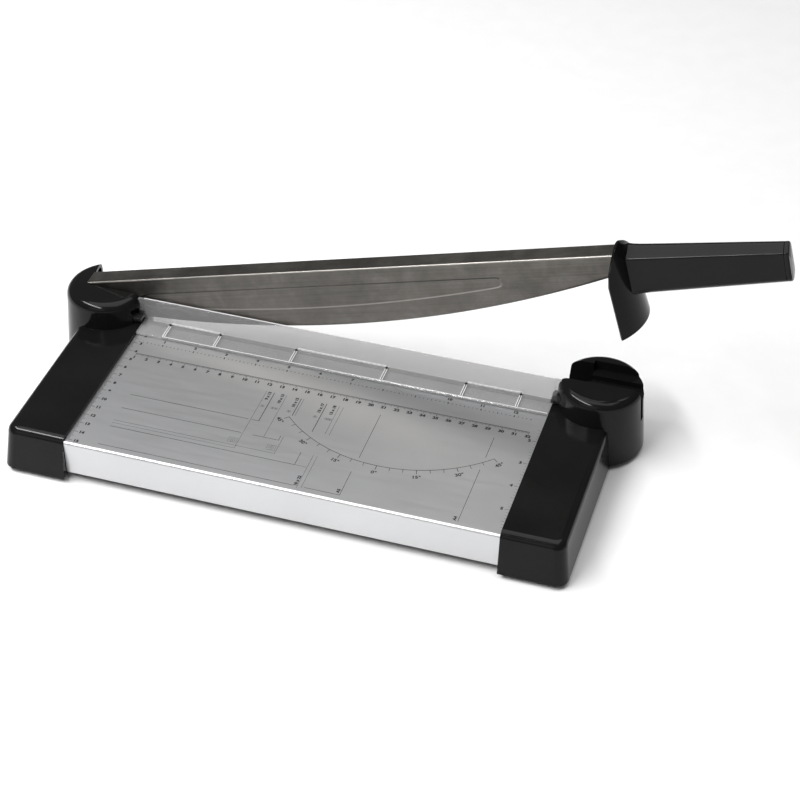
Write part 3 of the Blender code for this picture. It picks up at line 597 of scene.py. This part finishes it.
def print_formats(fine, strong):
    """Lines, corners and labels of the paper and photo formats, placed as read from the photo."""
    thick, thin, hair = 0.00050, 0.00034, 0.00024
    line_start = 0.025
    for y, end in ((-0.0891, 0.1190), (-0.1052, 0.1194), (-0.1269, 0.1687), (-0.1479, 0.1752)):
        strong.line(line_start, y, end, y, thin)
    for y, end in ((-0.1199, 0.1507), (-0.1229, 0.1208)):
        fine.line(line_start, y, end, y, hair)
    strong.line(0.1217, -0.0891, 0.1272, -0.0891, thin)
    strong.line(0.1284, -0.1052, 0.1485, -0.1052, thin)
    strong.line(0.1832, -0.1479, 0.2099, -0.1479, thin)
    fine.line(0.1687, -0.1269, 0.1778, -0.1269, hair)
    for x, high, low, width in (
            (0.1271, -0.0551, -0.0892, thick), (0.1485, -0.1001, -0.1053, thin),
            (0.1686, -0.1126, -0.1270, thin), (0.1485, -0.0556, -0.0760, thick),
            (0.1686, -0.0556, -0.0888, thick), (0.2098, -0.1218, -0.1480, thin),
            (0.2104, -0.0553, -0.1058, thin), (0.2971, -0.0552, -0.0784, thin),
            (0.2968, -0.0920, -0.1491, thin)):
        strong.line(x, high, x, low, width)
    for x, high, low in (
            (0.1208, -0.0553, -0.1230), (0.1369, -0.0552, -0.1047), (0.1507, -0.1001, -0.1200),
            (0.1505, -0.0554, -0.0759), (0.1784, -0.0552, -0.0887), (0.1817, -0.0561, -0.0890),
            (0.1782, -0.1128, -0.1503), (0.1813, -0.1134, -0.1490)):
        fine.line(x, high, x, low, hair)
    label_size = 0.0032
    for words, x, y in (
            ("9 x 13", 0.1238, -0.0597), ("10 x 13", 0.1340, -0.0603), ("10 x 15", 0.1457, -0.0611),
            ("13 x 17", 0.1659, -0.0616), ("13 x 18", 0.1752, -0.0613), ("18 x 22", 0.1765, -0.1424),
            ("A5", 0.2077, -0.1439), ("A4", 0.2941, -0.1465)):
        strong.text(words, x, y, label_size, LABEL_WEIGHT, 90.0)
    for x in (0.1236, 0.1318, 0.1343, 0.1444, 0.1650, 0.1738, 0.1764):
        print_format_icon(fine, x, -0.0721, 0.0020, 0.0006)
    for x, y in ((0.1164, -0.1146), (0.1461, -0.1145)):
        print_format_icon(fine, x, y, 0.0050, 0.0018)


def make_print():
    """All the printing, as one fine grey piece and one strong black piece."""
    fine = Print("printed_fine_marks", INK_GREY)
    strong = Print("printed_scales", INK_BLACK)
    print_cm_rulers(strong)
    for draw in (print_inch_rulers, print_protractor, print_formats):
        draw(fine, strong)
    fine.finish()
    strong.finish()


make_print()

# ---------------------------------------------------------------- clear rail details

FOOT_TOP = 0.0005 + 0.0020
RAIL_HEIGHT = 0.0214
WALL_FRONT = -0.0029
WALL_BACK = -0.0009
RAIL_DIVIDERS = (0.0230, 0.0645, 0.1265, 0.1990, 0.2615, 0.3040)
FRAMED_DIVIDERS = ((0, 1), (2, 3), (4, 5))


def finish_rail_piece(bm, name, material, smooth=0.0):
    """A piece of the clear rail, drawn in the cut frame."""
    return finish_mesh(
        bm, name, material, "clamp", Matrix.Translation(ORIGIN), smooth)


def make_rail_ribs():
    """Raised edges on the foot of the rail: dividers, frames, front lip and the wall's top edge, in a near-white
    colour that paints their highlights.
    """
    near, far = -0.0200, -0.0035
    half_rib = 0.00032
    half_gap = 0.00075
    rise = 0.00055
    frame_rise = 0.0013
    lip = 0.00024
    inset = 0.0006
    bm = bmesh.new()
    for divider in RAIL_DIVIDERS:
        for x in (divider - half_gap, divider + half_gap):
            add_bar(bm, x - half_rib, x + half_rib, near + 2 * half_rib, far, FOOT_TOP, FOOT_TOP + rise)
    # Front lip: its near-white colour paints the highlight on the foot's front edge.
    add_bar(bm, RAIL_DIVIDERS[0] - 0.0010, TABLE_LENGTH - 2 * inset, near - lip, near + lip,
            FOOT_TOP, FOOT_TOP + lip)
    # A thin near-white strip on top of the wall: a painted highlight along its top edge.
    add_bar(bm, inset, TABLE_LENGTH - inset, -0.0017, WALL_BACK,
            RAIL_HEIGHT + 0.00002, RAIL_HEIGHT + 0.0003)
    for first, last in FRAMED_DIVIDERS:
        x0 = RAIL_DIVIDERS[first] + half_gap + half_rib
        x1 = RAIL_DIVIDERS[last] - half_gap - half_rib
        add_bar(bm, x0, x1, far - half_rib, far + half_rib, FOOT_TOP, FOOT_TOP + frame_rise)
    ribs = finish_rail_piece(bm, "rail_ribs", PAINTED_EDGE_HIGHLIGHT, smooth=30.0)
    rounding = ribs.modifiers.new("edges", "BEVEL")
    rounding.width = 0.00006
    rounding.segments = 2
    half_slot = 0.00040
    bm = bmesh.new()
    for x in RAIL_DIVIDERS:
        add_bar(bm, x - half_slot, x + half_slot, near + 0.0018, far - 0.0034,
                FOOT_TOP + 0.00001, FOOT_TOP + 0.0001)
    finish_rail_piece(bm, "rail_slots", INK_GREY)
    end_length, end_bottom = 0.0038, 0.0105
    bm = bmesh.new()
    for x0, x1 in ((-end_length, 0.0), (TABLE_LENGTH, TABLE_LENGTH + end_length)):
        add_bar(bm, x0, x1, WALL_FRONT, WALL_BACK, end_bottom, RAIL_HEIGHT)
    finish_rail_piece(bm, "rail_wall_ends", CLEAR)


make_rail_ribs()

# ---------------------------------------------------------------- blade

SPINE_HEIGHT = 0.0337
SPINE_WIDTH = 0.0148
SPINE_END = 0.4258
BLADE_FRONT = 0.0003
BLADE_THICKNESS = 0.0015
ROOT_RADIUS = 0.0125
# The sheet starts on the round root, this far below the direction of the spine.
ROOT_START_ANGLE = math.radians(12.0)
ROOT_END = 0.0108
EDGE_START = 0.0160
ROOT_CORNER_HEIGHT = -0.0063
EDGE_LOWEST_X = 0.190
EDGE_LOWEST_DROP = 0.0493
EDGE_CURVE = 0.62
GROUND_EDGE = 0.0022
GROUND_SHARE = 0.9
LEAF_TOP = 0.0200
LEAF_START = 0.036
LEAF_END = 0.3322
LEAF_DEPTH = 0.00035
LEAF_RIM = 0.0010
LEAF_CORNER = 0.0013
LEAF_START_TAPER = 0.3
LEAF_END_TAPER = 0.8
# Lower side of the leaf, a parabola in x: the factors of x squared, x and 1.
LEAF_BELLY = (0.4323, -0.1491, 0.01382)
TANG_END = 0.500
TANG_BOTTOM = 0.0185
TANG_TOP = 0.0275


def blade_bottom(x):
    """Height of the blade's lower outline: the round root, then the curved cutting edge."""
    edge = SPINE_HEIGHT - EDGE_LOWEST_DROP + EDGE_CURVE * (x - EDGE_LOWEST_X) ** 2
    if x < ROOT_END:
        return -math.sqrt(max(0.0, ROOT_RADIUS ** 2 - x ** 2))
    if x < EDGE_START:
        share = (x - ROOT_END) / (EDGE_START - ROOT_END)
        return ROOT_CORNER_HEIGHT * (1.0 - share) + edge * share
    return edge


def smooth_least(values, size):
    """A rounded minimum of several distances."""
    least = min(values)
    total = sum(math.exp(-(value - least) / size) for value in values)
    return least - size * math.log(total)


def leaf_depth(x, z):
    """How far the pressed leaf shape is set back at a point of the blade."""
    lower = LEAF_BELLY[0] * x ** 2 + LEAF_BELLY[1] * x + LEAF_BELLY[2]
    sides = (
        LEAF_TOP - z, z - lower, (LEAF_END - x) * LEAF_END_TAPER, (x - LEAF_START) * LEAF_START_TAPER)
    share = min(1.0, max(0.0, smooth_least(sides, LEAF_CORNER) / LEAF_RIM + 0.5))
    return LEAF_DEPTH * share * share * (3.0 - 2.0 * share)


def leaf_shade(x, z):
    """Slope of the leaf's rim, used as painted light: above 0, a painted highlight, where it faces up; below 0,
    painted shade, where it faces down.
    """
    step = 0.0003
    steepness = 2.6
    rise = leaf_depth(x, z + step) - leaf_depth(x, z - step)
    return max(-1.0, min(1.0, rise / (2.0 * step) * steepness))


def blade_column(x, wall_rows, fold_rows, spine_rows):
    """Places and normals of the sheet's middle surface, from the cutting edge to the spine's back."""
    fold = 0.0003
    half = BLADE_THICKNESS / 2.0
    middle = BLADE_FRONT + half
    bottom = blade_bottom(x)
    turn = SPINE_HEIGHT - half - fold
    column = []
    for row in range(wall_rows + 1):
        z = bottom + (turn - bottom) * row / wall_rows
        column.append((Vector((x, middle + leaf_depth(x, z), z)), Vector((0.0, -1.0, 0.0))))
    for row in range(1, fold_rows + 1):
        angle = math.pi / 2.0 * row / fold_rows
        place = Vector((x, middle + fold - fold * math.cos(angle), turn + fold * math.sin(angle)))
        column.append((place, Vector((0.0, -math.cos(angle), math.sin(angle)))))
    start, end = middle + fold, BLADE_FRONT + SPINE_WIDTH
    for row in range(1, spine_rows + 1):
        y = start + (end - start) * row / spine_rows
        column.append((Vector((x, y, SPINE_HEIGHT - half)), Vector((0.0, 0.0, 1.0))))
    return column


def make_blade():
    """Blade as one closed pressed sheet: ground edge, leaf panel, rounded fold and flat spine."""
    half = BLADE_THICKNESS / 2.0
    columns, wall_rows, fold_rows, spine_rows = 300, 120, 8, 8
    # Painted highlight along the front of the rounded fold.
    fold_painted_highlight = 0.75
    start = -ROOT_RADIUS * math.cos(ROOT_START_ANGLE)
    bm = bmesh.new()
    painted_rim_light = bm.verts.layers.float.new("painted_rim_light")
    outer, inner = [], []
    for index in range(columns + 1):
        x = start + (SPINE_END - start) * index / columns
        column = blade_column(x, wall_rows, fold_rows, spine_rows)
        bottom = column[0][0].z
        front, rear = [], []
        for row, (place, normal) in enumerate(column):
            ground, shade = 0.0, 0.0
            if row <= wall_rows:
                ground = max(0.0, 1.0 - (place.z - bottom) / GROUND_EDGE)
                shade = leaf_shade(place.x, place.z)
            elif normal.y < -0.05:
                shade = fold_painted_highlight
            front.append(bm.verts.new(place + normal * half * (1.0 - GROUND_SHARE * ground * ground)))
            rear.append(bm.verts.new(place - normal * half))
            # Painted light on the leaf's rims and the fold, half as strong on the back face.
            front[row][painted_rim_light] = shade
            rear[row][painted_rim_light] = shade * 0.5
        outer.append(front)
        inner.append(rear)
    last_row = len(outer[0]) - 1
    for grid in (outer, inner):
        for one, two in zip(grid, grid[1:]):
            for row in range(last_row):
                bm.faces.new((one[row], two[row], two[row + 1], one[row + 1]))
    for row in (0, last_row):
        for index in range(columns):
            after = index + 1
            bm.faces.new((outer[index][row], outer[after][row], inner[after][row], inner[index][row]))
    for index in (0, columns):
        front, rear = outer[index], inner[index]
        for row in range(last_row):
            bm.faces.new((front[row], front[row + 1], rear[row + 1], rear[row]))
    sheet = finish_mesh(
        bm, "blade_sheet", STEEL, "blade_arm", ARM_MATRIX, smooth=30.0)
    tang = bmesh.new()
    add_bar(tang, SPINE_END - 0.004, TANG_END, BLADE_FRONT, BLADE_FRONT + BLADE_THICKNESS,
            TANG_BOTTOM, TANG_TOP)
    finish_mesh(tang, "blade_tang", STEEL, "blade_arm", ARM_MATRIX, smooth=0.0)
    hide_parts("blade")


make_blade()

# ---------------------------------------------------------------- handle

GUARD_AXIS = 0.3938
GUARD_Y = 0.0045
GUARD_RADIUS = 0.0391
GUARD_BOTTOM = -0.0215
GUARD_TAPER = math.tan(math.radians(4.0))
GUARD_HALF_WALL = 0.0009
GUARD_GAP = 0.0002
GRIP_CENTRE = Vector((0.0, 0.0010, 0.0219))
GRIP_END = 0.5425
CAP_FIT = 0.998
CAP_LENGTH = 0.0035
SEAM = 0.0003
SEAM_SCALE = 0.975
ROOT_SCALE = 1.34
END_SCALE = 1.06


def guard_radius(z):
    """Radius of the guard's middle surface at a height along its axis."""
    return GUARD_RADIUS - GUARD_TAPER * (z - GUARD_BOTTOM)


def arc(centre, radius, first, last, steps):
    """Points of a circular arc between two angles in degrees."""
    points = []
    for index in range(steps + 1):
        angle = math.radians(first + (last - first) * index / steps)
        y = centre[0] + radius * math.cos(angle)
        z = centre[1] + radius * math.sin(angle)
        points.append((y, z))
    return points


def evened(points, spacing):
    """The closed outline with extra points along its long straight sides."""
    result = []
    for (y0, z0), (y1, z1) in zip(points, points[1:] + points[:1]):
        count = max(1, round(math.hypot(y1 - y0, z1 - z0) / spacing))
        for index in range(count):
            share = index / count
            result.append((y0 + (y1 - y0) * share, z0 + (z1 - z0) * share))
    return result


def grip_outline():
    """Outline of the grip across its length: sloping top with a ridge in front, round belly."""
    points = arc((0.0003, -0.0077), 0.0068, 200.0, 345.0, 22)
    points += arc((0.0046, 0.0080), 0.0037, -5.0, 98.0, 14)
    points += arc((-0.0020, 0.0070), 0.0016, 105.0, 185.0, 10)
    return evened(points, 0.0016)


def loft(rings, name):
    """A closed black tube of the handle through rings of points, ended by flat fans."""
    bm = bmesh.new()
    skins = [[bm.verts.new(point) for point in ring] for ring in rings]
    count = len(skins[0])
    for one, two in zip(skins, skins[1:]):
        for index in range(count):
            after = (index + 1) % count
            bm.faces.new((one[index], one[after], two[after], two[index]))
    for ring in (skins[0], skins[-1]):
        middle = bm.verts.new(sum((v.co for v in ring), Vector()) / count)
        for index in range(count):
            bm.faces.new((ring[index], ring[(index + 1) % count], middle))
    return finish_mesh(bm, name, BLACK, "blade_arm", ARM_MATRIX, smooth=35.0)


def make_grip():
    """Moulded grip that grows out of the guard."""
    flare_height, flare_length = 0.05, 0.035
    end = GRIP_END - CAP_LENGTH - SEAM
    outline = grip_outline()
    rings = []
    for share in (0.0, 0.004, 0.009, 0.016, 0.026, 0.04, 0.06, 0.10, 0.2, 0.35, 0.5, 0.65, 0.8,
                  0.9, 0.97, 1.0):
        scale = ROOT_SCALE + (END_SCALE - ROOT_SCALE) * share
        flare = 1.0 + flare_height * math.exp(-share / flare_length)
        ring = []
        for y, z in outline:
            place = GRIP_CENTRE + Vector((0.0, y, z)) * scale * flare
            across = place.y - GUARD_Y
            outside = guard_radius(place.z) + GUARD_HALF_WALL + GUARD_GAP
            start = GUARD_AXIS + math.sqrt(outside ** 2 - across ** 2)
            place.x = start + (end - start) * share
            ring.append(place)
        rings.append(ring)
    inset = [GRIP_CENTRE + (point - GRIP_CENTRE) * SEAM_SCALE for point in rings[-1]]
    for point in inset:
        point.x = end + SEAM / 2.0
    rings.append(inset)
    grip = loft(rings, "grip_body")
    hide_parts("handle_grip", "grip_screw_1", "grip_screw_2")


def make_grip_cap():
    """End cap of the grip with a rounded end, behind a fine seam."""
    rounding = (
        (0.0, SEAM_SCALE), (0.0002, 1.0), (0.0022, 1.0), (0.0029, 0.985), (0.0033, 0.955),
        (CAP_LENGTH, 0.90))
    rings = []
    for reach, scale in rounding:
        ring = []
        for y, z in grip_outline():
            place = GRIP_CENTRE + Vector((0.0, y, z)) * END_SCALE * CAP_FIT * scale
            place.x = GRIP_END - CAP_LENGTH + reach
            ring.append(place)
        rings.append(ring)
    cap = loft(rings, "grip_cap")
    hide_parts("handle_end_cap")


def make_grip_screws():
    """Round screw heads sunk in the back of the grip."""
    root = GUARD_AXIS + GUARD_RADIUS
    grip_back, sunk = 0.0083, 0.0004
    steps = 24
    for index, x in enumerate((0.455, 0.489)):
        share = (x - root) / (GRIP_END - root)
        scale = ROOT_SCALE + (END_SCALE - ROOT_SCALE) * share
        seat = GRIP_CENTRE.y + grip_back * scale - sunk
        bm = bmesh.new()
        rings = []
        for rise, radius in ((0.0, 0.0029), (0.0007, 0.0030), (0.0011, 0.0026), (0.0013, 0.0014)):
            ring = []
            for step in range(steps):
                angle = 2.0 * math.pi * step / steps
                away, up = radius * math.cos(angle), radius * math.sin(angle)
                ring.append(bm.verts.new((x + away, seat + rise, GRIP_CENTRE.z + up)))
            rings.append(ring)
        for one, two in zip(rings, rings[1:]):
            for step in range(steps):
                after = (step + 1) % steps
                bm.faces.new((one[step], one[after], two[after], two[step]))
        bm.faces.new(rings[0])
        bm.faces.new(rings[-1])
        finish_mesh(bm, f"grip_screw_head_{index + 1}", ZINC, "blade_arm", ARM_MATRIX)


make_grip()
make_grip_cap()
make_grip_screws()

# ---------------------------------------------------------------- camera

# Solved from the scales printed on the table, with the photo's centre as the camera's axis.
CAMERA_PLACE = ORIGIN + Vector((0.5697, -1.1484, 0.9649))
AZIMUTH = math.radians(17.488)
ELEVATION = math.radians(39.574)
LENS_MM = 91.65
SENSOR_MM = 36.0


def make_camera():
    """The photo's camera: in front of the table, to the right and above."""
    data = bpy.data.cameras.new("camera")
    data.lens = LENS_MM
    data.sensor_width = SENSOR_MM
    camera = bpy.data.objects.new("camera", data)
    bpy.context.scene.collection.objects.link(camera)
    level = math.cos(ELEVATION)
    back = Vector((math.sin(AZIMUTH) * level, -math.cos(AZIMUTH) * level, math.sin(ELEVATION)))
    camera.location = CAMERA_PLACE
    camera.rotation_euler = back.to_track_quat("Z", "Y").to_euler()
    bpy.context.scene.camera = camera


make_camera()

# ---------------------------------------------------------------- studio

FLOOR_HALF = 4.0
FLOOR_HEIGHT = -0.0002
WORLD_STRENGTH = 0.16


def paper():
    """Pale background paper."""
    n = Nodes("floor")
    n.set(Roughness=0.9)
    grain = n.noise(40.0, 2.0)
    n.link(n.ramp(grain, (0.3, grey(0.80)), (0.7, grey(0.82))), "Base Color")
    return n.material


def make_floor():
    """A wide pale sheet under the cutter."""
    bm = bmesh.new()
    bmesh.ops.create_grid(bm, x_segments=8, y_segments=8, size=FLOOR_HALF)
    mesh = bpy.data.meshes.new("floor")
    bm.to_mesh(mesh)
    bm.free()
    mesh.materials.append(paper())
    floor = bpy.data.objects.new("floor", mesh)
    floor.location = (0.0, 0.0, FLOOR_HEIGHT)
    bpy.context.scene.collection.objects.link(floor)


def make_world():
    """Even white surroundings."""
    world = bpy.data.worlds.new("studio")
    world.use_nodes = True
    background = world.node_tree.nodes["Background"]
    background.inputs["Color"].default_value = (1.0, 1.0, 1.0, 1.0)
    background.inputs["Strength"].default_value = WORLD_STRENGTH
    bpy.context.scene.world = world


def area_light(name, place, size, power):
    """A soft rectangular lamp aimed at the origin."""
    data = bpy.data.lights.new(name, "AREA")
    data.shape = "RECTANGLE"
    data.size, data.size_y = size
    data.energy = power
    lamp = bpy.data.objects.new(name, data)
    lamp.location = place
    lamp.rotation_euler = (-Vector(place)).to_track_quat("-Z", "Y").to_euler()
    bpy.context.scene.collection.objects.link(lamp)


make_floor()
make_world()
bpy.context.scene.view_settings.view_transform = "Standard"
area_light("top", (0.0, 0.15, 2.2), (2.6, 2.2), 42.0)
area_light("strip", (-0.72, -0.56, 1.32), (1.5, 0.16), 26.0)
area_light("front", (-0.5, -1.9, 1.0), (1.6, 0.9), 3.0)
